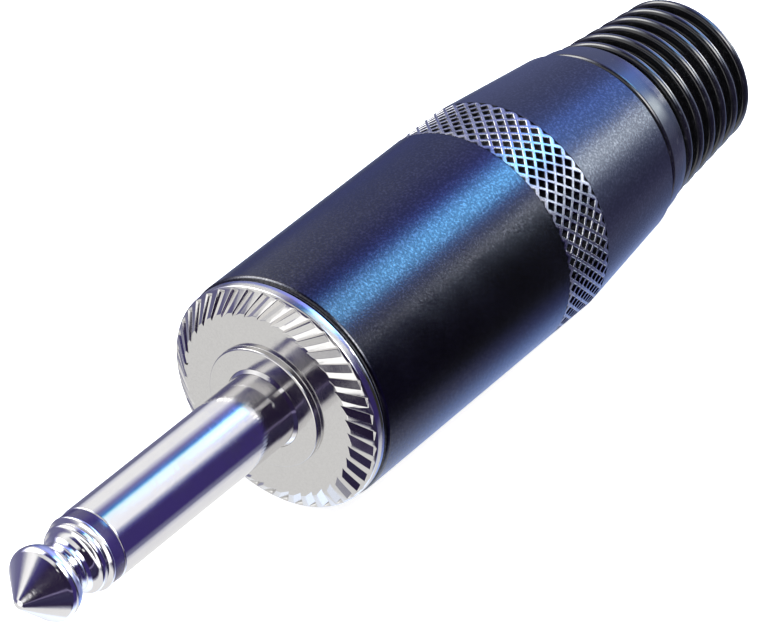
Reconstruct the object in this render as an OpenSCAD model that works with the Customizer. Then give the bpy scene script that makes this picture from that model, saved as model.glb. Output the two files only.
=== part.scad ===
// A 6.35 mm (quarter-inch) audio jack plug with two contacts, a screw-on metal shell and a cable chuck.
// It stands on the rear end of its boot: z = 0 is there, and +Z runs along the axis to the tip.
// All sizes are in millimetres.

/* [Tip contact] */
// Length of the tip in front of the black ring
tip_len = 8.05; // [8:0.05:8.15]
// How much slimmer in radius the rear of the tip is than the sleeve
tip_inset = 0.005; // [0:0.005:0.02]
// How much slimmer in radius the tip's bulb is than the sleeve
bulb_inset = 0.045; // [0.02:0.005:0.07]
// Radius of the small round nose
nose_r = 0.6; // [0.5:0.05:0.7]
// Radius of the flat at the middle of the nose
nose_flat_r = 0.06; // [0.04:0.01:0.1]
// Angle between the nose's cone and the axis
nose_angle = 45.5; // [44.5:0.5:46.5]
// Radius that rounds the cone over into the bulb
front_round_r = 0.7; // [0.6:0.05:0.8]
// Radius of the bulb's rear side
rear_round_r = 1.85; // [1.7:0.05:2]
// Diameter of the waist that the socket's spring drops into
waist_d = 4.2; // [4.1:0.05:4.3]
// Radius of the hollow between bulb and waist
hollow_r = 1.5; // [1.4:0.05:1.6]
// Radius of the hollow between waist and bead
back_hollow_r = 0.95; // [0.9:0.05:1]
// Diameter of the bead behind the waist
bead_d = 5.8; // [5.7:0.02:5.9]
// Radius that rounds the bead
bead_r = 0.5; // [0.45:0.05:0.55]
// Diameter of the fine groove behind the bead
groove_d = 5.5; // [5.4:0.02:5.6]
// Width of the sloping side from that groove out to the rear of the tip
groove_w = 0.2; // [0.15:0.05:0.25]
// Diameter of the rod that carries the tip through the plug
rod_d = 2; // [1.8:0.1:2.2]
// Diameter of the head that the rod is riveted over into
rivet_d = 3.8; // [3.4:0.1:4.2]
// Height of that head
rivet_h = 0.7; // [0.5:0.1:0.9]
// Height of the head's straight edge
rivet_edge_h = 0.25; // [0.15:0.05:0.4]
// Diameter of the head's flat end
rivet_flat_d = 2.5; // [2.2:0.1:2.8]

/* [Sleeve contact] */
// Outer diameter of the sleeve
sleeve_d = 6.35; // [6.3:0.01:6.4]
// Length of the sleeve in front of the boss
sleeve_len = 20.65; // [20:0.05:22]
// Wall of the sleeve
sleeve_wall = 0.875; // [0.8:0.025:0.95]
// Bevel at the sleeve's front edge
sleeve_bevel = 0.12; // [0.05:0.01:0.2]
// How much thicker in radius the sleeve is where it sits in the crown
seat_w = 0.22; // [0.2:0.01:0.25]
// Height of the bevel from that seat to the sleeve, in front of the boss
seat_bevel_h = 0.25; // [0.15:0.05:0.35]
// Width of the shoulder that holds the sleeve in the crown
shoulder_w = 2.4; // [2.3:0.05:2.5]
// Thickness of the shoulder
shoulder_t = 1.5; // [1.3:0.1:1.7]

/* [Insulators] */
// Length of the black ring between sleeve and tip
ring_len = 0.6; // [0.5:0.05:0.8]
// How far the black ring lies below the sleeve's surface
ring_inset = 0.055; // [0.03:0.005:0.1]
// Length of the ring's spigot inside the sleeve
ring_spigot_len = 6; // [4:0.5:9]
// Gap between the two insulators inside the sleeve
insulator_gap = 0.3; // [0.1:0.1:0.6]
// Width of the hub that centres the ground tag, outside the sleeve's bore
hub_w = 1.2; // [1.15:0.05:1.3]
// Width of the rear insulator's flange, outside the hub
flange_w = 0.9; // [0.8:0.05:1]
// Thickness of that flange
flange_t = 1.1; // [0.9:0.1:1.2]

/* [Crown] */
// How far the crown's rim lies inside the shell's surface
rim_inset = 0.14; // [0.08:0.01:0.2]
// Width of the plain rim behind the teeth
rim_len = 0.88; // [0.8:0.02:0.96]
// Bevel round the rim's front edge
rim_bevel = 0.16; // [0.1:0.02:0.2]
// Height of the sloping front between the rim and the flat face, with that bevel
bevel_h = 1.17; // [1.1:0.01:1.25]
// Width of the sloping front, with that bevel
bevel_w = 1.7; // [1.6:0.05:1.8]
// Number of teeth
tooth_count = 40; // [36:1:44]
// Angle by which each tooth leans round the crown
tooth_lean = 9; // [6:1:11]
// How far the spaces between teeth run into the flat face
space_run = 0.3; // [0.2:0.05:0.4]
// How far inside the rim the bottom of a space ends
space_end_w = 0.32; // [0.3:0.02:0.4]
// Depth of a space at that end
space_drop = 0.33; // [0.27:0.01:0.36]
// Angle between the two sides of a space
space_angle = 96; // [92:1:100]
// Width of the raised boss round the sleeve
boss_w = 2; // [1.8:0.05:2.2]
// Height of the boss
boss_h = 0.52; // [0.4:0.02:0.7]
// Rounding of the boss's edge
boss_round_r = 0.12; // [0.06:0.02:0.2]
// Length of the crown's threaded spigot
spigot_len = 6.2; // [5.8:0.1:6.6]
// Depth of the pocket for the sleeve's shoulder
pocket_depth = 3.6; // [3.4:0.1:3.8]

/* [Solder tags] */
// Thickness of the tags' sheet metal
tag_t = 0.5; // [0.4:0.05:0.6]
// Inner radius of the tags' bends
tag_bend_r = 0.3; // [0.2:0.05:0.4]
// Gap between the ground tag's strip and the insulator's flange
ground_gap = 0.35; // [0.3:0.05:0.4]
// Width of the ground tag's strip
ground_w = 3.2; // [2.8:0.1:3.4]
// Length of the ground tag's strip
ground_len = 14.5; // [12:0.5:16]
// Distance from the axis to the tip tag's strip
tip_tag_reach = 2.9; // [2.8:0.05:3.1]
// Width of the tip tag's strip
tip_tag_w = 2.6; // [2.4:0.1:3]
// Length of the tip tag's strip
tip_tag_len = 10.5; // [9:0.5:12]
// Diameter of the tags' solder holes
solder_hole_d = 1.4; // [1.2:0.1:1.6]

/* [Shell] */
// Diameter of the shell's cylinder
shell_d = 19.68; // [19.6:0.02:19.9]
// Length of the shell
shell_len = 40.65; // [40:0.05:42]
// Rounding of the shell's front edge
front_edge_r = 0.45; // [0.3:0.05:0.6]
// Wall of the shell round the front thread
front_wall = 1.59; // [1.5:0.01:1.7]
// Step in radius from the front thread to the shell's bore
bore_step = 0.3; // [0.25:0.05:0.35]
// Wall of the shell round the rear thread
rear_wall = 1.27; // [1.21:0.01:1.35]
// Relief in the bore behind the crown's spigot
front_relief = 0.5; // [0.4:0.1:0.8]
// Length of the narrower bore with the rear thread
rear_bore_len = 6.6; // [6.2:0.1:7]
// Slope of the taper behind the knurl
taper_angle = 6.55; // [6.4:0.05:6.7]

/* [Knurl] */
// Distance from the shell's rear edge to the knurled band
knurl_start = 11.05; // [10.5:0.05:11.5]
// Number of pits round the band
knurl_count = 50; // [48:1:50]
// Number of steps from row to row across the band
knurl_rows = 9; // [7:1:11]
// Distance between rows of pits
knurl_pitch = 0.595; // [0.59:0.005:0.62]
// Distance from the middle of a pit to its corners
pit_r = 0.5; // [0.46:0.01:0.5]
// Depth of a pit
pit_depth = 0.27; // [0.24:0.01:0.32]

/* [Liner] */
// Wall of the liner
liner_wall = 0.7; // [0.6:0.05:0.9]
// Thickness of the liner's floor
liner_floor = 0.8; // [0.6:0.1:1.2]
// Radius by which that floor's hole is wider than the chuck's bore
liner_hole_play = 0.3; // [0.1:0.1:0.6]

/* [Cable chuck] */
// Length of the chuck
chuck_len = 13.2; // [13:0.1:13.4]
// Radial gap between the chuck's ring and the shell's rear thread
chuck_play = 0.4; // [0.3:0.05:0.5]
// Length of the chuck's ring
chuck_ring_len = 2.8; // [2.6:0.1:3]
// Wall of the jaws at their tips
jaw_wall = 1; // [0.8:0.05:1.1]
// Step in radius from the jaws' bore to the chuck's
jaw_step = 0.8; // [0.6:0.05:0.9]
// Length of the jaws
jaw_len = 3.4; // [3.2:0.1:3.6]
// Number of fingers
finger_count = 6; // [4:1:8]
// Width of the slots between the fingers
finger_slot_w = 0.8; // [0.6:0.1:1]
// Length of the unslotted cone under the ring
finger_root_len = 0.8; // [0.6:0.1:1.2]
// Number of ridges that grip the cable
grip_count = 3; // [2:1:3]
// Height of those ridges
grip_h = 0.25; // [0.15:0.05:0.3]

/* [Gland bush] */
// Length of the thread in front of the boot
rear_thread_len = 5.5; // [5.3:0.1:5.7]
// Bevel at the thread's front end
thread_bevel = 0.3; // [0.2:0.05:0.4]
// Step in radius from the bush's thread to its root inside the boot's collar
root_step = 0.25; // [0.2:0.05:0.35]
// Length of the bush's root
bush_root_len = 2.2; // [2:0.1:2.3]
// Step in radius from the root to the bush's neck inside the ribs
neck_step = 1.3; // [1.2:0.05:1.4]
// Length of the neck
neck_len = 4.25; // [4:0.05:4.5]
// Wall of the neck at its end
neck_wall = 1.5; // [1.4:0.05:1.6]
// Length of the bush's plain bore under the cone
bush_seat_len = 1; // [0.9:0.1:1.1]
// Wall of the bush at the mouth of the cone that closes the chuck
mouth_wall = 0.9; // [0.85:0.05:1]

/* [Boot] */
// Length of the boot
boot_len = 13.85; // [13.8:0.05:14.2]
// How far the boot's collar lies inside the shell's rear edge
collar_inset = 0.27; // [0.2:0.01:0.35]
// Length of the collar
collar_len = 2.65; // [2.5:0.05:2.7]
// How much the collar narrows in radius towards the ribs
collar_taper = 0.3; // [0.2:0.05:0.35]
// Rounding of the collar's front edge
collar_round_r = 0.5; // [0.3:0.05:0.6]
// Length of the small step at the collar's rear
step_len = 0.7; // [0.5:0.1:0.9]
// Height of that step
step_h = 0.12; // [0.06:0.02:0.14]
// Number of ribs
rib_count = 6; // [5:1:6]
// Width of the groove between the collar and the front rib
collar_groove = 0.66; // [0.6:0.02:0.8]
// How far the front rib lies inside the collar's front edge
rib_inset = 0.65; // [0.5:0.05:0.75]
// How much the ribs shrink in radius towards the boot's end
rib_taper = 0.9; // [0.6:0.05:1]
// Width of a rib
rib_w = 0.84; // [0.8:0.02:0.9]
// Depth of the grooves between ribs
groove_depth = 0.9; // [0.7:0.05:0.9]
// Radius by which the cable's bore is wider than the jaws'
cable_play = 0.5; // [0.4:0.05:0.6]

/* [Clearances] */
// Gap between the boot's collar and the shell
boot_gap = 0.45; // [0.3:0.05:0.6]
// Gap between the shell and the crown's rim
crown_gap = 0.13; // [0.08:0.01:0.2]
// Radial clearance of the two threads
thread_fit = 0.05; // [0.03:0.01:0.08]
// Radial clearance of pieces that are pressed or moulded together
press_fit = 0.02; // [0.01:0.01:0.03]
// Clearance of loose pieces inside the shell
loose_fit = 0.25; // [0.15:0.05:0.3]
// Radial gap between the liner and the shell
liner_gap = 0.3; // [0.2:0.05:0.4]

/* [Hidden] */
$fn = 96;
// How far a cutter reaches past the surface that it cuts
past = 1;
// How far a knurl cutter reaches past the shell, little enough that neighbours stay apart
pit_rise = 0.04;

// Heights of the faces that pieces share, from the boot's end upwards
collar_rear_z = boot_len-collar_len;
root_z = boot_len-bush_root_len;
bush_start_z = root_z-neck_len;
cone_end_z = bush_start_z+bush_seat_len;
bush_top_z = boot_len+rear_thread_len;
chuck_seat_z = bush_top_z+loose_fit;
chuck_top_z = chuck_seat_z+chuck_ring_len;
chuck_tip_z = chuck_top_z-chuck_len;
liner_rear_z = chuck_top_z+loose_fit;
shell_rear_z = boot_len+boot_gap;
knurl_z = shell_rear_z+knurl_start;
shell_front_z = shell_rear_z+shell_len;
crown_rear_z = shell_front_z+crown_gap;
rim_z = crown_rear_z+rim_len;
face_z = rim_z+bevel_h;
boss_z = face_z+boss_h;
sleeve_front_z = boss_z+sleeve_len;
ring_front_z = sleeve_front_z+ring_len;
tip_z = ring_front_z+tip_len;
spigot_end_z = crown_rear_z-spigot_len;
ledge_z = spigot_end_z+pocket_depth;
shoulder_rear_z = ledge_z-shoulder_t;
ground_z = shoulder_rear_z-tag_t;
flange_z = ground_z-flange_t;
tip_tag_z = flange_z-tag_t;
rod_end_z = tip_tag_z-rivet_h;
liner_top_z = spigot_end_z-loose_fit;

// Radii of the contacts and their insulators, from the sleeve
sleeve_r = sleeve_d/2;
tip_r = sleeve_r-tip_inset;
bulb_r = sleeve_r-bulb_inset;
waist_r = waist_d/2;
ring_r = sleeve_r-ring_inset;
sleeve_bore_r = sleeve_r-sleeve_wall;
bore_fill_r = sleeve_bore_r-press_fit;
rod_r = rod_d/2;
rod_hole_r = rod_r+press_fit;
seat_r = sleeve_r+seat_w;
shoulder_r = sleeve_r+shoulder_w;
boss_r = sleeve_r+boss_w;
hub_r = sleeve_bore_r+hub_w;
flange_r = hub_r+flange_w;
ground_reach = flange_r+ground_gap;

// Radii of the body, from the shell inwards
shell_r = shell_d/2;
taper_end_r = shell_r-knurl_start*tan(taper_angle);
crown_r = shell_r-rim_inset;
face_r = crown_r-bevel_w;
front_bore_r = shell_r-front_wall;
front_thread_r = front_bore_r-thread_fit;
shell_bore_r = front_bore_r-thread_fit-bore_step;
rear_bore_r = taper_end_r-rear_wall;
rear_thread_r = rear_bore_r-thread_fit;
liner_r = shell_bore_r-liner_gap;
root_r = rear_thread_r-root_step;
neck_r = root_r-neck_step;
mouth_r = rear_thread_r-mouth_wall;
cone_end_r = neck_r-neck_wall;
chuck_r = rear_bore_r-chuck_play;
collar_r = taper_end_r-collar_inset;
rib_r = rib_w/2;
rib_pitch = (collar_rear_z-collar_groove-rib_w)/(rib_count-1);

// Radius of the bush's cone at a height
function cone_r(z) = cone_end_r+(mouth_r-cone_end_r)*(z-cone_end_z)/(bush_top_z-cone_end_z);
jaw_r = cone_r(chuck_tip_z)-loose_fit-jaw_wall;
chuck_bore_r = jaw_r+jaw_step;
cable_r = jaw_r+cable_play;
grip_pitch = jaw_len/(grip_count+1);

// Points along an arc about c, with angles clockwise from the direction of the tip
function arc(c, r, a0, a1, n = 8) = [for (i = [0:n]) let (a = a0+(a1-a0)*i/n) c+r*[sin(a), cos(a)]];
// Angle left out at the start of an arc that begins where the last one ended
skip_a = 4;

// The tip's outline is a chain of arcs that run into each other without a corner
nose_c = [nose_flat_r, tip_z-nose_r];
cone_top = nose_c+nose_r*[cos(nose_angle), sin(nose_angle)];
front_x = bulb_r-front_round_r;
bulb_z = cone_top[1]-(front_x+front_round_r*cos(nose_angle)-cone_top[0])/tan(nose_angle)
    -front_round_r*sin(nose_angle);
rear_c = [bulb_r-rear_round_r, bulb_z];
hollow_dx = waist_r+hollow_r-rear_c[0];
hollow_dz = sqrt(pow(rear_round_r+hollow_r, 2)-pow(hollow_dx, 2));
hollow_c = rear_c+[hollow_dx, -hollow_dz];
hollow_a = atan2(hollow_dx, -hollow_dz);
back_c = [waist_r+back_hollow_r, hollow_c[1]];
bead_dx = bead_d/2-bead_r-back_c[0];
bead_dz = sqrt(pow(back_hollow_r+bead_r, 2)-pow(bead_dx, 2));
bead_c = back_c+[bead_dx, -bead_dz];
bead_a = 360+atan2(bead_dx, -bead_dz);
bead_end_a = 180-asin((groove_d/2-bead_c[0])/bead_r);
land_z = bead_c[1]+bead_r*cos(bead_end_a)-groove_w;

module tip_contact() color("gainsboro") rotate_extrude() polygon(concat(
    [[0, tip_z]],
    arc(nose_c, nose_r, 0, 90-nose_angle),
    arc([front_x, bulb_z], front_round_r, 90-nose_angle, 90),
    arc(rear_c, rear_round_r, 90+skip_a, hollow_a),
    arc(hollow_c, hollow_r, hollow_a+180, 270),
    arc(back_c, back_hollow_r, 270-skip_a, bead_a),
    arc(bead_c, bead_r, bead_a-180, bead_end_a),
    [[tip_r, land_z], [tip_r, ring_front_z], [rod_r, ring_front_z],
     [rod_r, tip_tag_z], [rivet_d/2, tip_tag_z], [rivet_d/2, tip_tag_z-rivet_edge_h],
     [rivet_flat_d/2, rod_end_z], [0, rod_end_z]]));

module tip_insulator() color("black") difference() {
    union() {
        translate([0, 0, sleeve_front_z])
            cylinder(r = ring_r, h = ring_len);
        translate([0, 0, sleeve_front_z-ring_spigot_len])
            cylinder(r = bore_fill_r, h = ring_spigot_len+ring_len);
    }
    translate([0, 0, sleeve_front_z-ring_spigot_len-past])
        cylinder(r = rod_hole_r, h = ring_spigot_len+ring_len+2*past);
}

module sleeve_contact() color("gainsboro") rotate_extrude() polygon([
    [sleeve_bore_r, shoulder_rear_z], [shoulder_r, shoulder_rear_z], [shoulder_r, ledge_z],
    [seat_r, ledge_z], [seat_r, boss_z], [sleeve_r, boss_z+seat_bevel_h],
    [sleeve_r, sleeve_front_z-sleeve_bevel], [sleeve_r-sleeve_bevel, sleeve_front_z],
    [sleeve_bore_r, sleeve_front_z]]);

// The hub fills the ground tag's hole, and the flange presses the tag against the sleeve's shoulder
module rear_insulator() color("dimgray") difference() {
    rotate_extrude() polygon([
        [0, flange_z], [flange_r, flange_z], [flange_r, ground_z], [hub_r, ground_z],
        [hub_r, shoulder_rear_z], [bore_fill_r, shoulder_rear_z],
        [bore_fill_r, sleeve_front_z-ring_spigot_len-insulator_gap],
        [0, sleeve_front_z-ring_spigot_len-insulator_gap]]);
    translate([0, 0, flange_z-past]) cylinder(r = rod_hole_r, h = tip_z-flange_z);
}

// Cuts one space between teeth: a V along a line that leans round the crown and stops at the rim
module tooth_space() {
    slope = (bevel_h-rim_bevel)/(bevel_w-rim_bevel);
    end_r = crown_r-space_end_w;
    foot = [face_r-space_run, 0, face_z];
    end = [end_r*cos(tooth_lean), -end_r*sin(tooth_lean), face_z-(end_r-face_r)*slope-space_drop];
    w = (end-foot)/norm(end-foot);
    side = cross([0, 0, 1], w)/norm(cross([0, 0, 1], w));
    up = cross(w, side);
    half_w = past*tan(space_angle/2);
    multmatrix([[side[0], up[0], w[0], foot[0]],
                [side[1], up[1], w[1], foot[1]],
                [side[2], up[2], w[2], foot[2]]])
        translate([0, 0, -past]) linear_extrude(norm(end-foot)+past)
            polygon([[0, 0], [half_w, past], [-half_w, past]]);
}

module crown() color("silver") difference() {
    rotate_extrude() polygon(concat(
        [[seat_r+press_fit, ledge_z], [shoulder_r+press_fit, ledge_z], [shoulder_r+press_fit, spigot_end_z],
         [front_thread_r-thread_bevel, spigot_end_z], [front_thread_r, spigot_end_z+thread_bevel],
         [front_thread_r, crown_rear_z], [crown_r, crown_rear_z], [crown_r, rim_z],
         [crown_r-rim_bevel, rim_z+rim_bevel], [face_r, face_z], [boss_r, face_z]],
        arc([boss_r-boss_round_r, boss_z-boss_round_r], boss_round_r, 90, 0),
        [[seat_r+press_fit, boss_z]]));
    for (i = [0:tooth_count-1]) rotate(i*360/tooth_count) tooth_space();
}

// A stamped ring with a strip bent down at right angles, drawn with its upper face at z = 0
module tag(ring_r, hole_r, reach, w, len) {
    bend_x = reach-tag_bend_r;
    bend_c = [bend_x, -tag_t-tag_bend_r];
    difference() {
        union() {
            difference() {
                translate([0, 0, -tag_t]) cylinder(r = ring_r, h = tag_t);
                translate([bend_x, -w/2-tag_t, -tag_t-past]) cube([ring_r, w+2*tag_t, tag_t+2*past]);
            }
            intersection() {
                rotate([90, 0, 0]) linear_extrude(w, center = true) polygon(concat(
                    [[0, 0]], arc(bend_c, tag_bend_r+tag_t, 0, 90),
                    [[reach+tag_t, -len], [reach, -len]],
                    arc(bend_c, tag_bend_r, 90, 0), [[0, -tag_t]]));
                translate([-past, 0, 0]) rotate([90, 0, 90]) linear_extrude(reach+tag_t+2*past) {
                    translate([0, w/2-len]) circle(w/2);
                    translate([-w/2, w/2-len]) square([w, len-w/2+past]);
                }
            }
        }
        translate([0, 0, -tag_t-past]) cylinder(r = hole_r, h = tag_t+2*past);
        translate([0, 0, w/2-len]) rotate([0, 90, 0]) cylinder(r = solder_hole_d/2, h = reach+tag_t+past);
    }
}

module ground_tag() color("khaki") translate([0, 0, shoulder_rear_z])
    tag(shoulder_r, hub_r+press_fit, ground_reach, ground_w, ground_len);

module tip_tag() color("khaki") translate([0, 0, flange_z]) rotate(180)
    tag(tip_tag_reach-tag_bend_r, rod_hole_r, tip_tag_reach, tip_tag_w, tip_tag_len);

// Cuts one pit of the knurl: a square pyramid that points at the axis
module pit() translate([shell_r-pit_depth, 0, 0]) rotate([0, 90, 0])
    cylinder(r1 = 0, r2 = pit_r*(pit_depth+pit_rise)/pit_depth, h = pit_depth+pit_rise, $fn = 4);

module pit_row(i) rotate(i%2*180/knurl_count) translate([0, 0, knurl_z+i*knurl_pitch])
    for (j = [0:knurl_count-1]) rotate(j*360/knurl_count) pit();

// The first and the last row of pits are half pits, cut off square at the edges of the band
module shell() color("midnightblue") difference() {
    rotate_extrude() polygon(concat(
        [[rear_bore_r, shell_rear_z], [taper_end_r, shell_rear_z], [shell_r, knurl_z]],
        arc([shell_r-front_edge_r, shell_front_z-front_edge_r], front_edge_r, 90, 0),
        [[front_bore_r, shell_front_z], [front_bore_r, spigot_end_z-front_relief],
         [shell_bore_r, spigot_end_z-front_relief], [shell_bore_r, shell_rear_z+rear_bore_len],
         [rear_bore_r, shell_rear_z+rear_bore_len]]));
    for (i = [1:knurl_rows-1]) pit_row(i);
    intersection() {
        union() {
            pit_row(0);
            pit_row(knurl_rows);
        }
        translate([0, 0, knurl_z]) cylinder(r = shell_r+past, h = knurl_rows*knurl_pitch);
    }
}

module liner() color("whitesmoke") difference() {
    translate([0, 0, liner_rear_z])
        cylinder(r = liner_r, h = liner_top_z-liner_rear_z);
    translate([0, 0, liner_rear_z+liner_floor])
        cylinder(r = liner_r-liner_wall, h = liner_top_z-liner_rear_z);
    translate([0, 0, liner_rear_z-past])
        cylinder(r = chuck_bore_r+liner_hole_play, h = liner_floor+2*past);
}

module cable_chuck() color("darkslategray") difference() {
    rotate_extrude() polygon(concat(
        [[cone_r(chuck_tip_z)-loose_fit, chuck_tip_z], [cone_r(chuck_seat_z)-loose_fit, chuck_seat_z],
         [chuck_r, chuck_seat_z], [chuck_r, chuck_top_z], [chuck_bore_r, chuck_top_z],
         [chuck_bore_r, chuck_tip_z+jaw_len], [jaw_r, chuck_tip_z+jaw_len]],
        [for (i = [grip_count:-1:1]) for (p = [[0, grip_h], [-grip_h, 0], [0, -grip_h]])
            [jaw_r, chuck_tip_z+i*grip_pitch]+p],
        [[jaw_r, chuck_tip_z]]));
    for (i = [0:finger_count-1]) rotate((i+0.5)*360/finger_count)
        translate([0, -finger_slot_w/2, chuck_tip_z-past])
            cube([chuck_r, finger_slot_w, chuck_seat_z-finger_root_len-chuck_tip_z+past]);
}

module gland_bush() color("dimgray") rotate_extrude() polygon([
    [cone_end_r, bush_start_z], [neck_r, bush_start_z], [neck_r, root_z], [root_r, root_z],
    [root_r, boot_len], [rear_thread_r, boot_len], [rear_thread_r, bush_top_z-thread_bevel],
    [rear_thread_r-thread_bevel, bush_top_z], [mouth_r, bush_top_z], [cone_end_r, cone_end_z]]);

// Middle of a rib's rounded crest, counted from the end of the boot
function rib_c(i) = [collar_r-rib_inset-rib_taper*(1-i/(rib_count-1))-rib_r, rib_r+i*rib_pitch];
step_x = collar_r-collar_taper*(collar_len-step_len)/collar_len;

module boot() color("black") rotate_extrude() polygon(concat(
    [[cable_r, 0]],
    [for (i = [0:rib_count-1]) for (p = concat(
        i == 0 ? [] : [rib_c(i)+[rib_r-groove_depth, -rib_r]],
        arc(rib_c(i), rib_r, 180, 0),
        [rib_c(i)+[rib_r-groove_depth, rib_r]])) p],
    [[rib_c(rib_count-1)[0]+rib_r-groove_depth, collar_rear_z], [collar_r-collar_taper-step_h, collar_rear_z],
     [step_x-step_h, collar_rear_z+step_len], [step_x, collar_rear_z+step_len]],
    arc([collar_r-collar_round_r, boot_len-collar_round_r], collar_round_r, 90, 0),
    [[root_r+press_fit, boot_len], [root_r+press_fit, root_z], [neck_r+press_fit, root_z],
     [neck_r+press_fit, bush_start_z], [cable_r, bush_start_z]]));

tip_contact();
tip_insulator();
sleeve_contact();
rear_insulator();
crown();
ground_tag();
tip_tag();
shell();
liner();
cable_chuck();
gland_bush();
boot();
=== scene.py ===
import math
import bpy
import bmesh
from mathutils import Matrix, Vector


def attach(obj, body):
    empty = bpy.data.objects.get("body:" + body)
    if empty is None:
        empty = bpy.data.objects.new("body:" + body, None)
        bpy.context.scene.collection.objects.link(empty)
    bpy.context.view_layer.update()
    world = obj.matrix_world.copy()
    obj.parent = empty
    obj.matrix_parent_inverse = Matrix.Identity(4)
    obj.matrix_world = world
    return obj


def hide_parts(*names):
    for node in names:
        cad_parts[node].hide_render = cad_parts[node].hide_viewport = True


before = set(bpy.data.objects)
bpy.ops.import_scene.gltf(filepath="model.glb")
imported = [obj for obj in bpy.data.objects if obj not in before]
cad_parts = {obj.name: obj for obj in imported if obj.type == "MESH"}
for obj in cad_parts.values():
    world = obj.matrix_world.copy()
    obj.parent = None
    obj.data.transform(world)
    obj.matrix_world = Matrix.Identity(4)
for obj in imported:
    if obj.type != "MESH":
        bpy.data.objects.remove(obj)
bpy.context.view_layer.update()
mm = 0.001
upAxis = (0, 0, 1)
middle = (0, 0, 0)
seamGap = 0.0004 * mm  # vertices nearer than this are one
print("frame loaded")


# small helpers

def addObject(name, bm):
    mesh = bpy.data.meshes.new(name)
    bm.to_mesh(mesh)
    bm.free()
    added = bpy.data.objects.new(name, mesh)
    bpy.context.scene.collection.objects.link(added)
    return added


def addPiece(name, bm, sharpAngle=32, weighted=True):
    # closes the seams, turns the faces outwards and keeps only real corners sharp
    bmesh.ops.remove_doubles(bm, verts=bm.verts, dist=seamGap)
    bmesh.ops.recalc_face_normals(bm, faces=bm.faces)
    for face in bm.faces:
        face.smooth = True
    for edge in bm.edges:
        edge.smooth = edge.calc_face_angle(0) < math.radians(sharpAngle)
    piece = addObject(name, bm)
    if weighted:
        shading = piece.modifiers.new("evenShading", "WEIGHTED_NORMAL")
        shading.keep_sharp = True
    return piece


def drawOutline(bm, outline, segments=6):
    # a chain of corners in the XZ plane, where a third number rounds the corner by that tangent length
    # and a fourth says with how many segments
    corners = [bm.verts.new((row[0] * mm, 0, row[1] * mm)) for row in outline]
    for a, b in zip(corners, corners[1:]):
        bm.edges.new((a, b))
    for corner, row in zip(corners, outline):
        if len(row) > 2:
            count = row[3] if len(row) > 3 else segments
            bmesh.ops.bevel(bm, geom=[corner], offset=row[2] * mm, offset_type="OFFSET", affect="VERTICES",
                            segments=count, profile=0.5, material=-1)
    return corners


def spinRound(bm, geom, steps, rise=0.0, merge=True):
    bmesh.ops.spin(bm, geom=geom, cent=middle, axis=upAxis, dvec=(0, 0, rise * mm / steps),
                   angle=math.tau, steps=steps, use_merge=merge, use_duplicate=False)


def turnOutline(outline, steps, closed=True):
    # an outline that starts and ends on the axis is left open, and so is a bare wall
    bm = bmesh.new()
    corners = drawOutline(bm, outline)
    if closed:
        bm.edges.new((corners[-1], corners[0]))
    spinRound(bm, bm.verts[:] + bm.edges[:], steps)
    return bm


# shares of the pitch, and how many turns are swept beyond the thread's length
threadForm = {"steps": 96, "flat": 0.08, "valley": 0.5, "runIn": 1.5, "spareTurns": 3}


def addThread(bm, crest, valley, back, bottom, top, pitch):
    # sweeps a saw-tooth line up a right-hand helix, trims it square and closes it behind the groove
    turns = int((top - bottom) / pitch) + threadForm["spareTurns"]
    start = bottom - threadForm["runIn"] * pitch
    flat = threadForm["flat"] * pitch
    line = []
    for i in range(turns):
        base = start + i * pitch
        low = base + threadForm["valley"] * pitch
        line += [(crest, base), (crest, base + 2 * flat), (valley, low), (valley, low + flat)]
    line.append((crest, start + turns * pitch))
    part = bmesh.new()
    drawOutline(part, line)
    spinRound(part, part.verts[:] + part.edges[:], threadForm["steps"], rise=pitch, merge=False)
    bmesh.ops.remove_doubles(part, verts=part.verts, dist=2 * seamGap)
    for height, side in ((bottom, -1), (top, 1)):
        bmesh.ops.bisect_plane(part, geom=part.verts[:] + part.edges[:] + part.faces[:], dist=1e-8,
                               plane_co=(0, 0, height * mm), plane_no=(0, 0, side), clear_outer=True)
    rims = []
    for height in (bottom, top):
        openEdges = [e for e in part.edges if e.is_boundary]
        rim = [e for e in openEdges if all(abs(v.co.z - height * mm) < 1e-6 for v in e.verts)]
        made = bmesh.ops.extrude_edge_only(part, edges=rim)["geom"]
        for v in [g for g in made if isinstance(g, bmesh.types.BMVert)]:
            v.co.xy = v.co.xy.normalized() * back * mm
        rims += [g for g in made if isinstance(g, bmesh.types.BMEdge)]
    rims = [e for e in rims if e.is_boundary]
    bmesh.ops.bridge_loops(part, edges=rims)
    bmesh.ops.remove_doubles(part, verts=part.verts, dist=2 * seamGap)
    bmesh.ops.recalc_face_normals(part, faces=part.faces)
    spare = bpy.data.meshes.new("threadPart")
    part.to_mesh(spare)
    part.free()
    bm.from_mesh(spare)
    bpy.data.meshes.remove(spare)


def place(piece, body, material, node):
    piece.data.materials.clear()
    piece.data.materials.append(material)
    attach(piece, body)
    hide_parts(node)


# finishes

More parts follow.
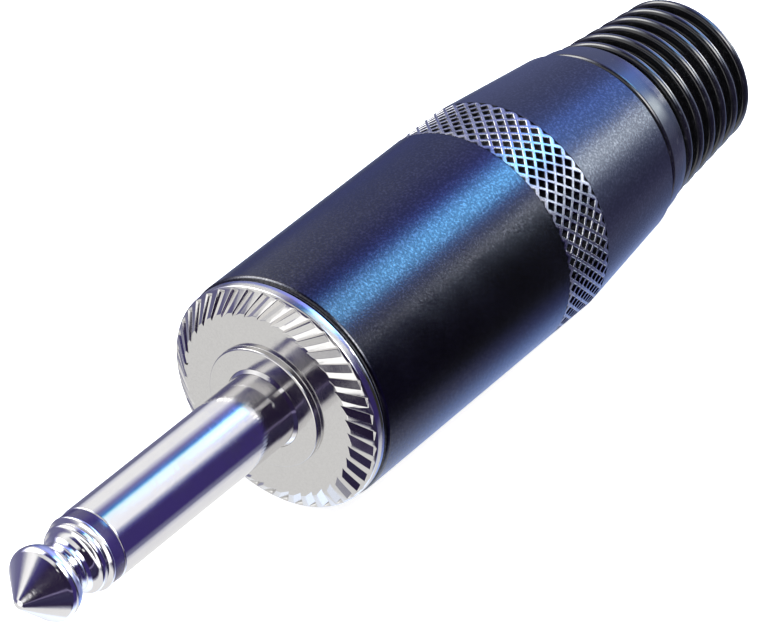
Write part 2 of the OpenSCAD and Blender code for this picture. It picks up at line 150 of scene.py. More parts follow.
class Finish:
    # one material with its nodes, built from a few small steps
    def __init__(self, name, base, metallic=0.0, roughness=0.4, **sockets):
        self.material = bpy.data.materials.new(name)
        self.material.use_nodes = True
        self.tree = self.material.node_tree
        self.shader = self.tree.nodes["Principled BSDF"]
        self.shader.inputs["Base Color"].default_value = (*base, 1)
        self.shader.inputs["Metallic"].default_value = metallic
        self.shader.inputs["Roughness"].default_value = roughness
        for socket, value in sockets.items():
            self.shader.inputs[socket.replace("_", " ")].default_value = value
        self.place = self.tree.nodes.new("ShaderNodeTexCoord")

    def add(self, kind, settings=None, **inputs):
        node = self.tree.nodes.new("ShaderNode" + kind)
        for key, value in (settings or {}).items():
            setattr(node, key, value)
        for key, value in inputs.items():
            # i0 and i1 are sockets by number, and any other key is a socket's label
            byNumber = key[0] == "i" and key[1:].isdigit()
            socket = node.inputs[int(key[1:]) if byNumber else key.replace("_", " ")]
            if isinstance(value, bpy.types.NodeSocket):
                self.tree.links.new(value, socket)
            else:
                socket.default_value = value
        return node

    def coords(self, stretch=(1, 1, 1)):
        return self.add("Mapping", Vector=self.place.outputs["Object"], Scale=stretch).outputs["Vector"]

    def noise(self, scale, detail=3, stretch=(1, 1, 1), roughness=0.55):
        return self.add("TexNoise", Vector=self.coords(stretch), Scale=scale, Detail=detail,
                        Roughness=roughness).outputs["Fac"]

    def rangeOf(self, value, low, high, newLow, newHigh):
        return self.add("MapRange", {"clamp": True}, Value=value, From_Min=low, From_Max=high,
                        To_Min=newLow, To_Max=newHigh).outputs["Result"]

    def radius(self):
        # distance from the plug's axis
        flat = self.add("VectorMath", {"operation": "MULTIPLY"}, i0=self.place.outputs["Object"],
                        i1=(1, 1, 0)).outputs[0]
        return self.add("VectorMath", {"operation": "LENGTH"}, i0=flat).outputs["Value"]

    def height(self):
        return self.add("SeparateXYZ", Vector=self.place.outputs["Object"]).outputs["Z"]

    def math(self, operation, a, b=0.0):
        return self.add("Math", {"operation": operation}, i0=a, i1=b).outputs[0]

    def blend(self, factor, a, b):
        node = self.add("Mix", {"data_type": "RGBA"}, Factor=factor)
        for value, index in ((a, 6), (b, 7)):
            if isinstance(value, bpy.types.NodeSocket):
                self.tree.links.new(value, node.inputs[index])
            else:
                node.inputs[index].default_value = (*value, 1)
        return node.outputs[2]

    def bump(self, value, strength, depth, after=None):
        node = self.add("Bump", Strength=strength, Distance=depth * mm, Height=value)
        if after is not None:
            self.tree.links.new(after, node.inputs["Normal"])
        return node.outputs["Normal"]

    def use(self, socket, value):
        self.tree.links.new(value, self.shader.inputs[socket])

    def shine(self, color, strength):
        # gives off light instead of showing a surface
        glow = self.add("Emission", Color=color, Strength=strength).outputs[0]
        self.tree.links.new(glow, self.tree.nodes["Material Output"].inputs["Surface"])


def makePolishedNickel():
    look = {"base": (0.80, 0.79, 0.80), "smeared": (0.72, 0.69, 0.68), "smear": 0.24, "smudgeShare": 0.7,
            "roughness": (0.055, 0.14), "lines": 0.10, "dents": 0.12, "grain": 0.05}
    finish = Finish("polishedNickel", look["base"], metallic=1.0)
    smudge = finish.noise(scale=420, detail=4)
    lines = finish.noise(scale=60, detail=4, stretch=(6, 6, 160), roughness=0.7)
    grain = finish.noise(scale=5200, detail=2)
    dents = finish.noise(scale=2300, detail=3, stretch=(1, 1, 1.8), roughness=0.65)
    mixed = finish.math("ADD", finish.math("MULTIPLY", smudge, look["smudgeShare"]),
                        finish.math("MULTIPLY", grain, 1 - look["smudgeShare"]))
    finish.use("Roughness", finish.rangeOf(mixed, 0.35, 0.7, *look["roughness"]))
    smeared = finish.rangeOf(smudge, 0.45, 0.75, 0, look["smear"])
    finish.use("Base Color", finish.blend(smeared, look["base"], look["smeared"]))
    ripple = finish.bump(lines, look["lines"], depth=0.004)
    wavy = finish.bump(dents, look["dents"], depth=0.03, after=ripple)
    finish.use("Normal", finish.bump(grain, look["grain"], depth=0.003, after=wavy))
    return finish.material


def makeSatinNickel():
    look = {"base": (0.64, 0.63, 0.62), "grey": (0.57, 0.56, 0.55), "roughness": (0.09, 0.18),
            "rings": 0.12, "grain": 0.08}
    finish = Finish("satinNickel", look["base"], metallic=1.0)
    rings = finish.add("TexNoise", {"noise_dimensions": "1D"}, W=finish.radius(), Scale=9000,
                       Detail=3).outputs["Fac"]
    grain = finish.noise(scale=6500, detail=3)
    patches = finish.noise(scale=500, detail=3)
    finish.use("Roughness", finish.rangeOf(patches, 0.35, 0.7, *look["roughness"]))
    greyed = finish.rangeOf(grain, 0.35, 0.7, 0, 0.5)
    finish.use("Base Color", finish.blend(greyed, look["base"], look["grey"]))
    turnedLines = finish.bump(rings, look["rings"], depth=0.004)
    finish.use("Normal", finish.bump(grain, look["grain"], depth=0.006, after=turnedLines))
    return finish.material


def makeShellFinish():
    # the near-black colour in the knurl's pits is painted shade, not a colour of the shell
    look = {"base": (0.055, 0.056, 0.063), "fleck": (0.108, 0.108, 0.114), "pit": (0.006, 0.006, 0.007),
            "land": (0.42, 0.42, 0.44), "roughness": (0.1, 0.17), "landRoughness": 0.27, "grain": 0.75,
            # the knurl's heights, a radius that only the outside passes, and the radii between
            # which the lands begin and the painted shade in the pits ends
            "band": (25.36, 30.69), "outside": 9.3, "landEdge": (9.795, 9.82), "pitEdge": (9.77, 9.815)}
    finish = Finish("shellFinish", look["base"], metallic=1.0)
    grain = finish.noise(scale=7000, detail=4, roughness=0.7)
    patches = finish.noise(scale=260, detail=3)
    speck = finish.noise(scale=5200, detail=2)
    scuffs = finish.noise(scale=1500, detail=3)
    radius = finish.radius()
    height = finish.height()
    aboveStart = finish.math("GREATER_THAN", height, look["band"][0] * mm)
    belowEnd = finish.math("LESS_THAN", height, look["band"][1] * mm)
    outside = finish.math("GREATER_THAN", radius, look["outside"] * mm)
    onBand = finish.math("MULTIPLY", finish.math("MULTIPLY", aboveStart, belowEnd), outside)
    # the knurl's lands are worn bright, and its pits are painted dark as painted shade
    raised = finish.rangeOf(radius, look["landEdge"][0] * mm, look["landEdge"][1] * mm, 0, 1)
    pitShadeMask = finish.rangeOf(radius, look["pitEdge"][0] * mm, look["pitEdge"][1] * mm, 1, 0)
    worn = finish.math("MULTIPLY", finish.math("MULTIPLY", onBand, raised),
                       finish.rangeOf(scuffs, 0.35, 0.6, 0.6, 1))
    flecked = finish.blend(finish.rangeOf(speck, 0.46, 0.72, 0, 1), look["base"], look["fleck"])
    # painted shade: the pits are darkened to stand in for the shade in the knurl's recesses
    pitted = finish.blend(finish.math("MULTIPLY", onBand, pitShadeMask), flecked, look["pit"])
    finish.use("Base Color", finish.blend(worn, pitted, look["land"]))
    dull = finish.rangeOf(patches, 0.3, 0.7, *look["roughness"])
    bandDull = finish.math("MULTIPLY", onBand, look["landRoughness"])
    finish.use("Roughness", finish.math("MAXIMUM", dull, bandDull))
    finish.use("Normal", finish.bump(grain, look["grain"], depth=0.012))
    return finish.material


def makeBootRubber():
    look = {"base": (0.004, 0.004, 0.0045), "dust": (0.05, 0.05, 0.06), "roughness": (0.09, 0.19),
            "grain": 0.12}
    finish = Finish("bootRubber", look["base"], IOR=1.7)
    mottle = finish.noise(scale=700, detail=4)
    grain = finish.noise(scale=5200, detail=3)
    dust = finish.noise(scale=2400, detail=2)
    finish.use("Roughness", finish.rangeOf(mottle, 0.3, 0.7, *look["roughness"]))
    dusty = finish.rangeOf(dust, 0.62, 0.75, 0, 0.4)
    finish.use("Base Color", finish.blend(dusty, look["base"], look["dust"]))
    finish.use("Normal", finish.bump(grain, look["grain"], depth=0.006))
    return finish.material


def makeMoulded(name, base, second, roughness, scale=900):
    look = {"grain": 0.15, "grainScale": 7 * scale}
    finish = Finish(name, base)
    mottle = finish.noise(scale=scale, detail=4)
    grain = finish.noise(scale=look["grainScale"], detail=3)
    finish.use("Roughness", finish.rangeOf(mottle, 0.3, 0.7, *roughness))
    finish.use("Base Color", finish.blend(finish.rangeOf(mottle, 0.3, 0.7, 0, 1), base, second))
    finish.use("Normal", finish.bump(grain, look["grain"], depth=0.006))
    return finish.material


def makeTagMetal():
    look = {"base": (0.74, 0.66, 0.46), "tarnish": (0.60, 0.50, 0.34), "roughness": (0.2, 0.38),
            "rolled": 0.12}
    finish = Finish("tagMetal", look["base"], metallic=1.0)
    rolled = finish.noise(scale=300, detail=4, stretch=(12, 12, 1))
    tarnish = finish.noise(scale=350, detail=4)
    finish.use("Roughness", finish.rangeOf(rolled, 0.3, 0.7, *look["roughness"]))
    tarnished = finish.rangeOf(tarnish, 0.4, 0.75, 0, 0.7)
    finish.use("Base Color", finish.blend(tarnished, look["base"], look["tarnish"]))
    finish.use("Normal", finish.bump(rolled, look["rolled"], depth=0.006))
    return finish.material


polishedNickel = makePolishedNickel()
satinNickel = makeSatinNickel()
shellFinish = makeShellFinish()
bootRubber = makeBootRubber()
tagMetal = makeTagMetal()
# the ring is black plastic; its violet tint is a painted reflection that stands in for its violet sheen
ringPlastic = makeMoulded("ringPlastic", (0.018, 0.012, 0.06), (0.024, 0.016, 0.075), (0.1, 0.16))
blackPlastic = makeMoulded("blackPlastic", (0.012, 0.012, 0.014), (0.02, 0.02, 0.024), (0.28, 0.42))
linerPlastic = makeMoulded("linerPlastic", (0.80, 0.80, 0.77), (0.74, 0.74, 0.72), (0.38, 0.55), 500)
chuckPlastic = makeMoulded("chuckPlastic", (0.035, 0.045, 0.05), (0.05, 0.06, 0.068), (0.35, 0.5))
bushPlastic = makeMoulded("bushPlastic", (0.028, 0.028, 0.03), (0.042, 0.042, 0.045), (0.3, 0.45))
print("materials made")


# tip and its rod

tip = {"body": "insert", "steps": 144,
       # radius, height and, where the corner is round, its tangent length and segments
       "outline": [
           (0, 86.95), (0.3055, 86.95, 0.2455, 8), (3.13, 84.1743, 0.2935, 8), (3.13, 83.0923, 0.7885, 12),
           (2.1, 82.1035, 0.6393, 10), (2.1, 80.8778, 0.5864, 10), (2.9, 80.4766, 0.14, 5),
           (2.9, 80.0, 0.1, 4), (2.75, 79.85), (3.17, 79.65, 0.06, 3), (3.17, 79.45, 0.03, 2),
           (1, 79.45), (1, 48.88), (1.9, 48.88, 0.06, 2), (1.9, 48.63, 0.1, 4),
           (1.25, 48.18, 0.2, 4), (0, 48.18)]}


def makeTip():
    piece = addPiece("tipContact", turnOutline(tip["outline"], tip["steps"], closed=False))
    place(piece, tip["body"], polishedNickel, "tip_contact")


makeTip()


# sleeve

sleeve = {"body": "insert", "steps": 144,
          "outline": [(2.3, 50.98), (5.575, 50.98, 0.1), (5.575, 52.48, 0.1), (3.395, 52.48), (3.395, 57.65),
                      (3.175, 57.9), (3.175, 78.3, 0.12), (2.3, 78.3, 0.08)]}


def makeSleeve():
    piece = addPiece("sleeveContact", turnOutline(sleeve["outline"], sleeve["steps"]))
    place(piece, sleeve["body"], polishedNickel, "sleeve_contact")


makeSleeve()


# black ring between tip and sleeve

ring = {"body": "insert", "steps": 120,
        "outline": [(1.02, 72.3), (2.28, 72.3, 0.1), (2.28, 78.3), (3.12, 78.3, 0.03), (3.12, 79.45, 0.03),
                    (1.02, 79.45)]}


def makeRing():
    piece = addPiece("tipInsulator", turnOutline(ring["outline"], ring["steps"]))
    place(piece, ring["body"], ringPlastic, "tip_insulator")


makeRing()


# crown with its raked teeth

crown = {"body": "insert", "steps": 160, "teeth": 40, "lean": 9.0, "angle": 96.0, "rise": 0.5,
         # radius and height where the bottom of a space starts in the face and where it ends at the rim
         "foot": (7.7, 57.13), "end": (9.3, 55.954),
         "endLean": 0.4, "overrun": 1.0,  # the end wall's lean, and how far inside its foot a cutter starts
         # edges sharper than this many degrees are rounded outside this radius and above this height
         "sharpAngle": 14, "edgeRound": 0.02, "edgeRadius": 7.72, "edgeHeight": 55.5,
         "thread": {"crest": 8.20, "valley": 7.78, "back": 7.4, "bottom": 49.15, "top": 54.2, "pitch": 0.75},
         "outline": [(3.415, 52.48), (5.595, 52.48), (5.595, 48.88, 0.15), (7.70, 48.88, 0.2), (7.70, 54.25),
                     (8.20, 54.25, 0.1), (8.20, 55.08), (9.70, 55.08, 0.1), (9.70, 55.96, 0.05, 2),
                     (9.54, 56.12, 0.04, 2), (8.0, 57.13), (7.6, 57.13), (5.175, 57.13, 0.04),
                     (5.175, 57.65, 0.14), (3.415, 57.65, 0.05)]}


def makeToothCutter():
    # one V-shaped cutter along a line that leans round the crown, copied to every space
    lean = math.radians(crown["lean"])
    foot = Vector((crown["foot"][0], 0, crown["foot"][1]))
    end = Vector((crown["end"][0] * math.cos(lean), -crown["end"][0] * math.sin(lean), crown["end"][1]))
    along = (end - foot).normalized()
    across = Vector(upAxis).cross(along).normalized()
    upwards = along.cross(across)
    halfWidth = crown["rise"] * math.tan(math.radians(crown["angle"] / 2))
    start = foot - along * crown["overrun"]
    ridge = upwards * crown["rise"]
    cut = bmesh.new()
    side = cut.faces.new([cut.verts.new(corner * mm) for corner in
                          (start, start + ridge + across * halfWidth, start + ridge - across * halfWidth)])
    made = bmesh.ops.extrude_face_region(cut, geom=[side])["geom"]
    outer = [g for g in made if isinstance(g, bmesh.types.BMVert)]
    bmesh.ops.translate(cut, verts=outer, vec=along * ((end - foot).length + crown["overrun"]) * mm)
    # the wall at the outer end leans outwards
    tops = sorted(outer, key=lambda v: v.co.dot(upwards))[1:]
    bmesh.ops.translate(cut, verts=tops, vec=along * crown["endLean"] * mm)
    bmesh.ops.recalc_face_normals(cut, faces=cut.faces)
    bmesh.ops.spin(cut, geom=cut.verts[:] + cut.edges[:] + cut.faces[:], cent=middle, axis=upAxis,
                   angle=math.tau * (1 - 1 / crown["teeth"]), steps=crown["teeth"] - 1, use_duplicate=True)
    return addObject("toothCutter", cut)


def makeCrown():
    blank = addPiece("crownBlank", turnOutline(crown["outline"], crown["steps"]), weighted=False)
    cutter = makeToothCutter()
    boolean = blank.modifiers.new("spaces", "BOOLEAN")
    boolean.operation = "DIFFERENCE"
    boolean.solver = "EXACT"
    boolean.use_self = True
    boolean.object = cutter
    bpy.context.view_layer.update()
    solved = bpy.data.meshes.new_from_object(blank.evaluated_get(bpy.context.evaluated_depsgraph_get()))
    bpy.data.objects.remove(cutter)
    bpy.data.objects.remove(blank)
    bm = bmesh.new()
    bm.from_mesh(solved)
    sharp = [e for e in bm.edges if e.calc_face_angle(0) > math.radians(crown["sharpAngle"])]
    toothEdges = [e for e in sharp if all(v.co.z > crown["edgeHeight"] * mm for v in e.verts)
                  and all(v.co.xy.length > crown["edgeRadius"] * mm for v in e.verts)]
    bmesh.ops.bevel(bm, geom=toothEdges, offset=crown["edgeRound"] * mm, offset_type="OFFSET", affect="EDGES",
                    segments=2, profile=0.5, material=-1, clamp_overlap=True)
    addThread(bm, **crown["thread"])
    piece = addPiece("toothedCrown", bm)
    place(piece, crown["body"], satinNickel, "crown")


makeCrown()
print("contacts and crown made")


# shell with its knurled band

shell = {"body": "shell", "steps": 100, "radius": 9.84,
         # the knurled band: ten rows from its start upwards, with a narrow plain edge on both sides
         "bandRows": 10, "bandStart": 25.35, "bandPitch": 0.595, "bandEdge": 0.02,
         "pitDepth": 0.27, "edgeDepth": 0.09, "landWidth": 0.09,
         "skin": 0.04,  # how far inside the radius a vertex still counts as on the outside
         "front": [(9.84, 54.95, 0.45, 8), (8.25, 54.95, 0.12), (8.25, 54.3), (8.75, 54.3), (8.75, 48.38)],
         "rear": [(7.9, 48.38), (7.9, 20.9), (7.8, 20.8), (7.8, 15.0), (7.3015, 15.0), (7.3015, 14.3, 0.15),
                  (8.5712, 14.3, 0.12)],
         "frontThread": {"crest": 8.25, "valley": 8.65, "back": 9.0, "bottom": 48.5, "top": 54.3,
                         "pitch": 0.75},
         "rearThread": {"crest": 7.3015, "valley": 7.70, "back": 7.95, "bottom": 15.0, "top": 20.8,
                        "pitch": 0.75}}


def makeShell():
    rows = shell["bandRows"]
    band = [(shell["radius"], shell["bandStart"] + i * shell["bandPitch"]) for i in range(rows)]
    below = (shell["radius"], band[0][1] - shell["bandEdge"])
    above = (shell["radius"], band[-1][1] + shell["bandEdge"])
    bm = turnOutline([below] + band + [above] + shell["front"] + shell["rear"], shell["steps"])
    bmesh.ops.remove_doubles(bm, verts=bm.verts, dist=seamGap)
    # the lattice of the band: pit middles and land crossings take turns along each row
    middles = []
    crossings = []
    step = math.tau / shell["steps"]
    for v in bm.verts:
        height = (v.co.z / mm - shell["bandStart"]) / shell["bandPitch"]
        row = round(height)
        onRow = abs(height - row) < 0.004 and row in range(rows)
        outside = v.co.xy.length > (shell["radius"] - shell["skin"]) * mm
        if onRow and outside:
            column = round(math.atan2(v.co.y, v.co.x) / step)
            lattice = middles if (column + row) % 2 == 0 else crossings
            lattice.append(v)
    made = bmesh.ops.connect_verts(bm, verts=crossings)["edges"]
    bmesh.ops.bevel(bm, geom=made, offset=shell["landWidth"] * mm, offset_type="OFFSET", affect="EDGES",
                    segments=1, profile=0.5, material=-1)
    # the half pits along both edges of the band are shallow
    inside = shell["bandPitch"] / 2
    pits = [v for v in middles if v.is_valid]
    deep = [v for v in pits if band[0][1] + inside < v.co.z / mm < band[-1][1] - inside]
    shallow = [v for v in pits if v not in deep]
    for depth, verts in ((shell["pitDepth"], deep), (shell["edgeDepth"], shallow)):
        shrink = 1 - depth / shell["radius"]
        bmesh.ops.scale(bm, vec=(shrink, shrink, 1), verts=verts)
    addThread(bm, **shell["frontThread"])
    addThread(bm, **shell["rearThread"])
    piece = addPiece("knurledShell", bm, sharpAngle=20)
    place(piece, shell["body"], shellFinish, "shell")


makeShell()


# gland bush and boot

bush = {"body": "boot", "steps": 120,
        "thread": {"crest": 7.2515, "valley": 6.86, "back": 6.6, "bottom": 13.9, "top": 19.1, "pitch": 0.75},
        "outline": [(4.2015, 7.4), (5.7015, 7.4), (5.7015, 11.65), (7.0015, 11.65), (7.0015, 13.9),
                    (6.8, 13.9), (6.8, 19.35, 0.15), (6.3515, 19.35, 0.1), (4.2015, 8.4)]}
boot = {"body": "boot", "steps": 160, "ribs": 6, "pitch": 1.94, "ribWidth": 0.84, "groove": 0.9, "bore": 3.6,
        "crest": (6.75, 7.65),  # radii of the first rib and the last
        "crestRound": 0.40, "grooveRound": 0.1,
        "collar": [(6.75, 11.2, 0.1, 3), (7.84, 11.2, 0.08), (7.91, 11.9, 0.06), (8.02, 11.9, 0.05),
                   (8.3012, 13.85, 0.5, 8), (7.0215, 13.85, 0.04), (7.0215, 11.65), (5.7215, 11.65),
                   (5.7215, 7.4), (3.6, 7.4)]}


def makeBush():
    bm = turnOutline(bush["outline"], bush["steps"])
    addThread(bm, **bush["thread"])
    piece = addPiece("glandBush", bm)
    place(piece, bush["body"], bushPlastic, "gland_bush")


def makeBoot():
    outline = [(boot["bore"], 0, 0.12)]
    first, last = boot["crest"]
    for i in range(boot["ribs"]):
        crest = first + (last - first) * i / (boot["ribs"] - 1)
        floor = crest - boot["groove"]
        low = i * boot["pitch"]
        high = low + boot["ribWidth"]
        if i:
            outline.append((floor, low, boot["grooveRound"], 3))
        outline += [(crest, low, boot["crestRound"], 8), (crest, high, boot["crestRound"], 8),
                    (floor, high, boot["grooveRound"], 3)]
    piece = addPiece("ribbedBoot", turnOutline(outline + boot["collar"], boot["steps"]))
    place(piece, boot["body"], bootRubber, "boot")


makeBush()
makeBoot()
print("shell, bush and boot made")


# pieces that keep their CAD shape

keptFinishes = {"rear_insulator": blackPlastic, "ground_tag": tagMetal, "tip_tag": tagMetal,
                "liner": linerPlastic, "cable_chuck": chuckPlastic}
for nodeName, material in keptFinishes.items():
    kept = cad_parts[nodeName]
    if not kept.material_slots:
        kept.data.materials.append(material)
    for slot in kept.material_slots:
        slot.material = material
print("inner pieces finished")


# table, light tent, cards, lamps and camera

table = {"normal": (0.628, -0.778, 0.0), "distance": 9.86, "size": 3000.0, "glow": 0.80,
         "color": (0.8, 0.8, 0.8)}
tent = {"radius": 450.0, "low": -2600.0, "high": 2600.0, "strength": 20.0, "steps": 96,
        # heights between which each tier of cloth gives way to the next, and the last to the ceiling
        "changes": [(-1000, -950), (-735, -705), (-440, -425), (-312, -305), (-165, -145), (75, 120),
                    (385, 410), (770, 860)],
        "ceiling": (1.7, 1.7, 1.7)}
# the tiers from the lowest up: directions round the plug's axis in degrees, and the light from there
tiers = {"under": [(0, (2, 2.1, 2.6)), (30, (1, 1, 1.4)), (90, (1, 1.1, 1.6)), (150, (1.2, 1.4, 2)),
                   (190, (0.5, 0.5, 0.8)), (232, (0.8, 0.85, 1.2)), (246, (6, 6.3, 7)),
                   (254, (17, 17, 17)), (272, (17, 17, 17)), (282, (7, 8, 11)), (300, (2, 2.4, 4.4)),
                   (320, (2, 2.2, 3.6)), (340, (3, 3.2, 4))],
         "collar": [(11, (0.35, 0.36, 0.83)), (36, (0.18, 0.18, 0.46)), (61, (0.06, 0.06, 0.14)),
                    (119, (0.26, 0.31, 0.53)), (144, (0.34, 0.44, 0.7)), (169, (0.25, 0.27, 0.55)),
                    (196, (0.1, 0.11, 0.22)), (225, (0.43, 0.52, 0.93)), (255, (0.5, 0.67, 1.35)),
                    (285, (0.67, 0.92, 2.5)), (315, (0.85, 1.25, 3.7)), (344, (0.45, 0.48, 1.3))],
         "rear": [(6, (0.47, 0.54, 1.05)), (31, (0.35, 0.4, 0.8)), (60, (0.17, 0.2, 0.42)),
                  (80, (0.24, 0.27, 0.4)), (120, (0.33, 0.42, 0.78)), (149, (0.27, 0.33, 0.64)),
                  (174, (0.36, 0.38, 0.68)), (204, (0.27, 0.28, 0.56)), (230, (0.7, 0.8, 1.3)),
                  (243, (3, 3.4, 4.1)), (252, (5.6, 6.3, 6.9)), (263, (5.6, 6.3, 6.9)),
                  (274, (2.2, 2.8, 4.2)), (286, (1.05, 1.8, 4)), (310, (0.8, 1.45, 4.2)),
                  (322, (0.6, 0.85, 2.1)), (342, (0.52, 0.62, 1.35))],
         "shell": [(0, (0.42, 0.48, 1.05)), (30, (0.24, 0.28, 0.65)), (54, (0.13, 0.15, 0.4)),
                   (66, (0.1, 0.11, 0.2)), (90, (0.46, 0.56, 0.82)), (138, (0.36, 0.53, 1.15)),
                   (160, (0.14, 0.17, 0.5)), (180, (0.042, 0.042, 0.033)), (230, (0.033, 0.033, 0.008)),
                   (242, (0.03, 0.03, 0.035)), (256, (0.18, 0.18, 0.36)), (272, (0.32, 0.36, 1.05)),
                   (282, (0.62, 1.2, 3.3)), (290, (2.2, 6.9, 12.6)), (301, (2.2, 6.9, 12.6)),
                   (308, (1.25, 3.2, 7.8)), (317, (0.55, 0.7, 2.8)), (330, (0.42, 0.44, 1.3))],
         "sleeve": [(0, (1, 1, 1)), (18, (1, 1, 1)), (31, (0.73, 0.74, 0.84)), (43, (0.17, 0.17, 0.29)),
                    (67, (0.2, 0.2, 0.31)), (79, (0.3, 0.31, 0.43)), (92, (0.55, 0.55, 0.65)),
                    (104, (0.9, 0.9, 0.9)), (161, (0.9, 0.9, 0.92)), (174, (0.64, 0.65, 0.75)),
                    (186, (0.2, 0.2, 0.33)), (196, (0.048, 0.033, 0.162)), (240, (0.048, 0.033, 0.162)),
                    (248, (0.09, 0.08, 0.27)), (256, (0.36, 0.38, 0.57)), (265, (1.04, 1.04, 1.08)),
                    (292, (1.08, 1.1, 1.14)), (306, (0.95, 1.15, 1.25)), (311, (0.35, 0.8, 1.05)),
                    (315, (0.08, 0.25, 0.62)), (321, (0.12, 0.2, 0.5)), (330, (0.22, 0.2, 0.42)),
                    (340, (0.6, 0.6, 0.75)), (350, (1, 1, 1))],
         "edge": [(0, (8, 8, 8)), (14, (8, 8, 8)), (24, (1.2, 1.2, 1.6)), (36, (0.15, 0.15, 0.3)),
                  (70, (0.3, 0.3, 0.45)), (92, (0.9, 0.9, 0.9)), (140, (1.4, 1.6, 2)),
                  (156, (1.2, 1.4, 1.9)), (172, (0.3, 0.3, 0.6)), (190, (0.05, 0.035, 0.17)),
                  (244, (0.05, 0.035, 0.17)), (252, (2, 2.2, 2.8)), (259, (9, 9, 9)), (275, (9, 9, 9)),
                  (284, (2.4, 3, 4)), (294, (0.06, 0.05, 0.2)), (328, (0.06, 0.05, 0.2)),
                  (340, (3, 3.2, 3.8)), (348, (8, 8, 8))],
         "crown": [(0, (1.2, 1.2, 1.2)), (14, (1, 1, 1)), (22, (0.5, 0.5, 0.6)),
                   (32, (0.17, 0.16, 0.33)), (56, (0.2, 0.2, 0.34)), (70, (0.93, 0.93, 0.93)),
                   (154, (0.95, 0.95, 0.95)), (160, (0.35, 0.35, 0.45)), (167, (0.03, 0.02, 0.06)),
                   (190, (0.04, 0.035, 0.09)), (206, (0.04, 0.03, 0.08)), (210, (0.3, 0.26, 0.46)),
                   (215, (0.025, 0.018, 0.05)), (284, (0.022, 0.014, 0.045)), (292, (0.6, 0.6, 0.62)),
                   (298, (0.95, 0.95, 0.95)), (340, (0.8, 0.8, 0.8)), (353, (1.1, 1.1, 1.1))],
         "top": [(0, (1.2, 1.2, 1.2)), (14, (1, 1, 1)), (22, (0.5, 0.5, 0.6)), (32, (0.17, 0.16, 0.33)),
                 (56, (0.2, 0.2, 0.34)), (70, (0.93, 0.93, 0.93)), (154, (0.95, 0.95, 0.95)),
                 (160, (0.35, 0.35, 0.45)), (167, (0.03, 0.02, 0.06)), (182, (0.035, 0.028, 0.075)),
                 (197, (0.05, 0.045, 0.1)), (206, (0.04, 0.03, 0.08)), (210, (0.3, 0.26, 0.46)),
                 (215, (0.025, 0.018, 0.05)), (250, (0.022, 0.014, 0.045)), (300, (0.026, 0.016, 0.06)),
                 (336, (0.06, 0.05, 0.2)), (346, (0.25, 0.25, 0.4)), (353, (1.1, 1.1, 1.1))]}
# the foot card shows in the sleeve's foot and in its mirror image on the crown's face,
# and the band card shows in the barrel beside the knurl
cards = {"footCard": {"place": (52, -440, 450), "size": (90, 150), "glow": 1.0},
         "bandCard": {"place": (-92, -436, -395), "size": (45, 60), "glow": 5.0}}
lamps = {"key": {"place": (250, -430, -180), "size": 500, "power": 7.0, "color": (0.93, 0.97, 1.0)},
         "fill": {"place": (-420, -260, 420), "size": 600, "power": 4.0, "color": (1.0, 1.0, 1.0)}}
lampTarget = (0, 0, 45)
surroundings = {"color": (0.93, 0.95, 1.0), "strength": 0.5}
lens = {"place": (-0.07, -307.809, 304.807), "turn": (-36.32874809, 36.38144203, -141.10901997),
        "length": 244.4706, "sensor": 36, "nearest": 0.01, "furthest": 10}


def makeTable():
    normal = Vector(table["normal"]).normalized()
    bm = bmesh.new()
    bmesh.ops.create_grid(bm, x_segments=1, y_segments=1, size=table["size"] / 2 * mm)
    turn = normal.to_track_quat("Z", "Y").to_matrix()
    bmesh.ops.rotate(bm, cent=middle, matrix=turn, verts=bm.verts)
    bmesh.ops.translate(bm, vec=-normal * table["distance"] * mm, verts=bm.verts)
    floor = addObject("table", bm)
    finish = Finish("tablePaper", table["color"], roughness=0.9)
    paper = finish.shader.outputs[0]
    path = finish.add("LightPath")
    glow = finish.add("Emission", Color=(1, 1, 1, 1), Strength=table["glow"])
    lit = finish.add("AddShader", i0=paper, i1=glow.outputs[0])
    seen = finish.add("MixShader", Fac=path.outputs["Is Camera Ray"], i1=paper, i2=lit.outputs[0])
    # its underside is clear, so that a view from behind the table still shows the plug
    clear = finish.add("BsdfTransparent")
    side = finish.add("NewGeometry")
    both = finish.add("MixShader", Fac=side.outputs["Backfacing"], i1=seen.outputs[0], i2=clear.outputs[0])
    finish.tree.links.new(both.outputs[0], finish.tree.nodes["Material Output"].inputs["Surface"])
    floor.data.materials.append(finish.material)
    floor.visible_glossy = False


def directionRamp(finish, rows):
    # 0 to 360 degrees round the axis, from a radial gradient whose seam is at 180
    swirl = finish.add("TexGradient", {"gradient_type": "RADIAL"}, Vector=finish.place.outputs["Object"])
    ramp = finish.add("ValToRGB", Fac=swirl.outputs["Fac"])
    stops = sorted((((angle + 180) % 360) / 360, color) for angle, color in rows)
    stops = [(0.0, stops[0][1])] + stops + [(1.0, stops[0][1])]
    elements = ramp.color_ramp.elements
    while len(elements) < len(stops):
        elements.new(0.5)
    for element, stop in zip(elements, stops):
        element.position = stop[0]
    for element, stop in zip(elements, stops):
        element.color = (*[part / tent["strength"] for part in stop[1]], 1)
    return ramp.outputs["Color"]


def stageGlowing(piece, finish):
    # only the object's reflections see it
    piece.data.materials.append(finish.material)
    piece.visible_camera = False
    piece.visible_diffuse = False
    piece.visible_shadow = False
    piece.visible_transmission = False


def makeTent():
    wall = [(tent["radius"], tent["low"]), (tent["radius"], tent["high"])]
    cylinder = addObject("lightTent", turnOutline(wall, tent["steps"], closed=False))
    finish = Finish("tentCloth", (1, 1, 1))
    height = finish.height()
    above = [finish.rangeOf(height, low * mm, high * mm, 0, 1) for low, high in tent["changes"]]
    ramps = [directionRamp(finish, rows) for rows in tiers.values()]
    cloth = ramps[0]
    for share, ramp in zip(above, ramps[1:]):
        cloth = finish.blend(share, cloth, ramp)
    cloth = finish.blend(above[-1], cloth, [part / tent["strength"] for part in tent["ceiling"]])
    finish.shine(cloth, tent["strength"])
    stageGlowing(cylinder, finish)


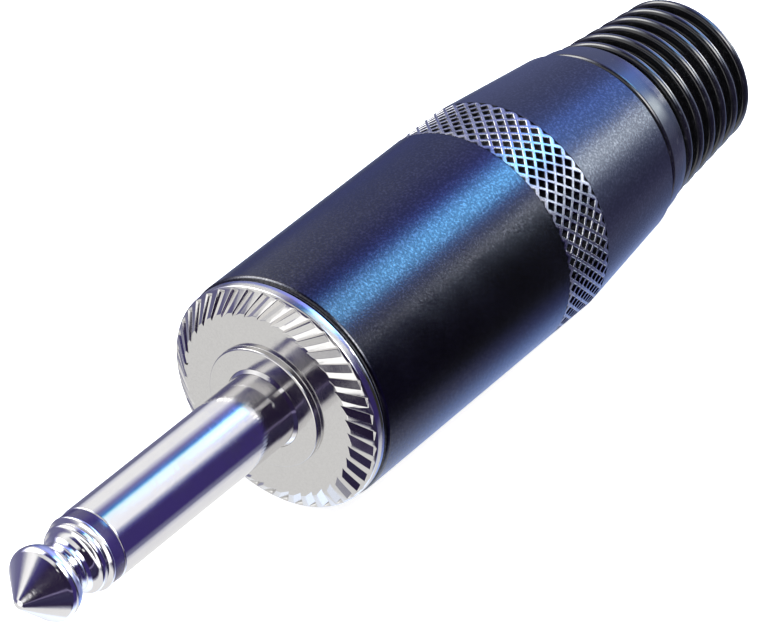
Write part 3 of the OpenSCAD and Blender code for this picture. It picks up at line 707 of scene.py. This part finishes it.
def makeCard(name, card):
    bm = bmesh.new()
    bmesh.ops.create_grid(bm, x_segments=1, y_segments=1, size=0.5 * mm)
    bmesh.ops.scale(bm, vec=(card["size"][0], card["size"][1], 1), verts=bm.verts)
    bmesh.ops.rotate(bm, cent=middle, matrix=Matrix.Rotation(math.radians(90), 3, "X"), verts=bm.verts)
    bmesh.ops.translate(bm, vec=Vector(card["place"]) * mm, verts=bm.verts)
    finish = Finish(name + "Cloth", (1, 1, 1))
    finish.shine((1, 1, 1, 1), card["glow"])
    stageGlowing(addObject(name, bm), finish)


def makeLamps():
    target = Vector(lampTarget) * mm
    for name, row in lamps.items():
        data = bpy.data.lights.new(name, "AREA")
        data.shape = "SQUARE"
        data.size = row["size"] * mm
        data.energy = row["power"]
        data.color = row["color"]
        lamp = bpy.data.objects.new(name, data)
        lamp.location = Vector(row["place"]) * mm
        lamp.rotation_euler = (target - lamp.location).to_track_quat("-Z", "Y").to_euler()
        lamp.visible_glossy = False
        lamp.visible_camera = False
        bpy.context.scene.collection.objects.link(lamp)


def makeWorld():
    world = bpy.data.worlds.new("studio")
    bpy.context.scene.world = world
    world.use_nodes = True
    nodes = world.node_tree.nodes
    links = world.node_tree.links
    # white where the camera, a reflection or a clear material sees it, and softer as light on the plug
    white = nodes["Background"]
    white.inputs["Color"].default_value = (1, 1, 1, 1)
    white.inputs["Strength"].default_value = 1.0
    soft = nodes.new("ShaderNodeBackground")
    soft.inputs["Color"].default_value = (*surroundings["color"], 1)
    soft.inputs["Strength"].default_value = surroundings["strength"]
    path = nodes.new("ShaderNodeLightPath")
    seen = nodes.new("ShaderNodeMath")
    seen.operation = "MAXIMUM"
    links.new(path.outputs["Is Camera Ray"], seen.inputs[0])
    links.new(path.outputs["Is Glossy Ray"], seen.inputs[1])
    through = nodes.new("ShaderNodeMath")
    through.operation = "MAXIMUM"
    links.new(seen.outputs[0], through.inputs[0])
    links.new(path.outputs["Is Transmission Ray"], through.inputs[1])
    mix = nodes.new("ShaderNodeMixShader")
    links.new(through.outputs[0], mix.inputs[0])
    links.new(soft.outputs[0], mix.inputs[1])
    links.new(white.outputs[0], mix.inputs[2])
    links.new(mix.outputs[0], nodes["World Output"].inputs["Surface"])


def makeCamera():
    data = bpy.data.cameras.new("camera")
    data.lens = lens["length"]
    data.sensor_width = lens["sensor"]
    data.clip_start = lens["nearest"]
    data.clip_end = lens["furthest"]
    camera = bpy.data.objects.new("camera", data)
    camera.location = Vector(lens["place"]) * mm
    camera.rotation_euler = [math.radians(angle) for angle in lens["turn"]]
    bpy.context.scene.collection.objects.link(camera)
    bpy.context.scene.camera = camera


makeTable()
makeTent()
for name, card in cards.items():
    makeCard(name, card)
makeLamps()
makeWorld()
makeCamera()
bpy.context.scene.view_settings.view_transform = "Standard"
print("table, tent, lamps and camera set")
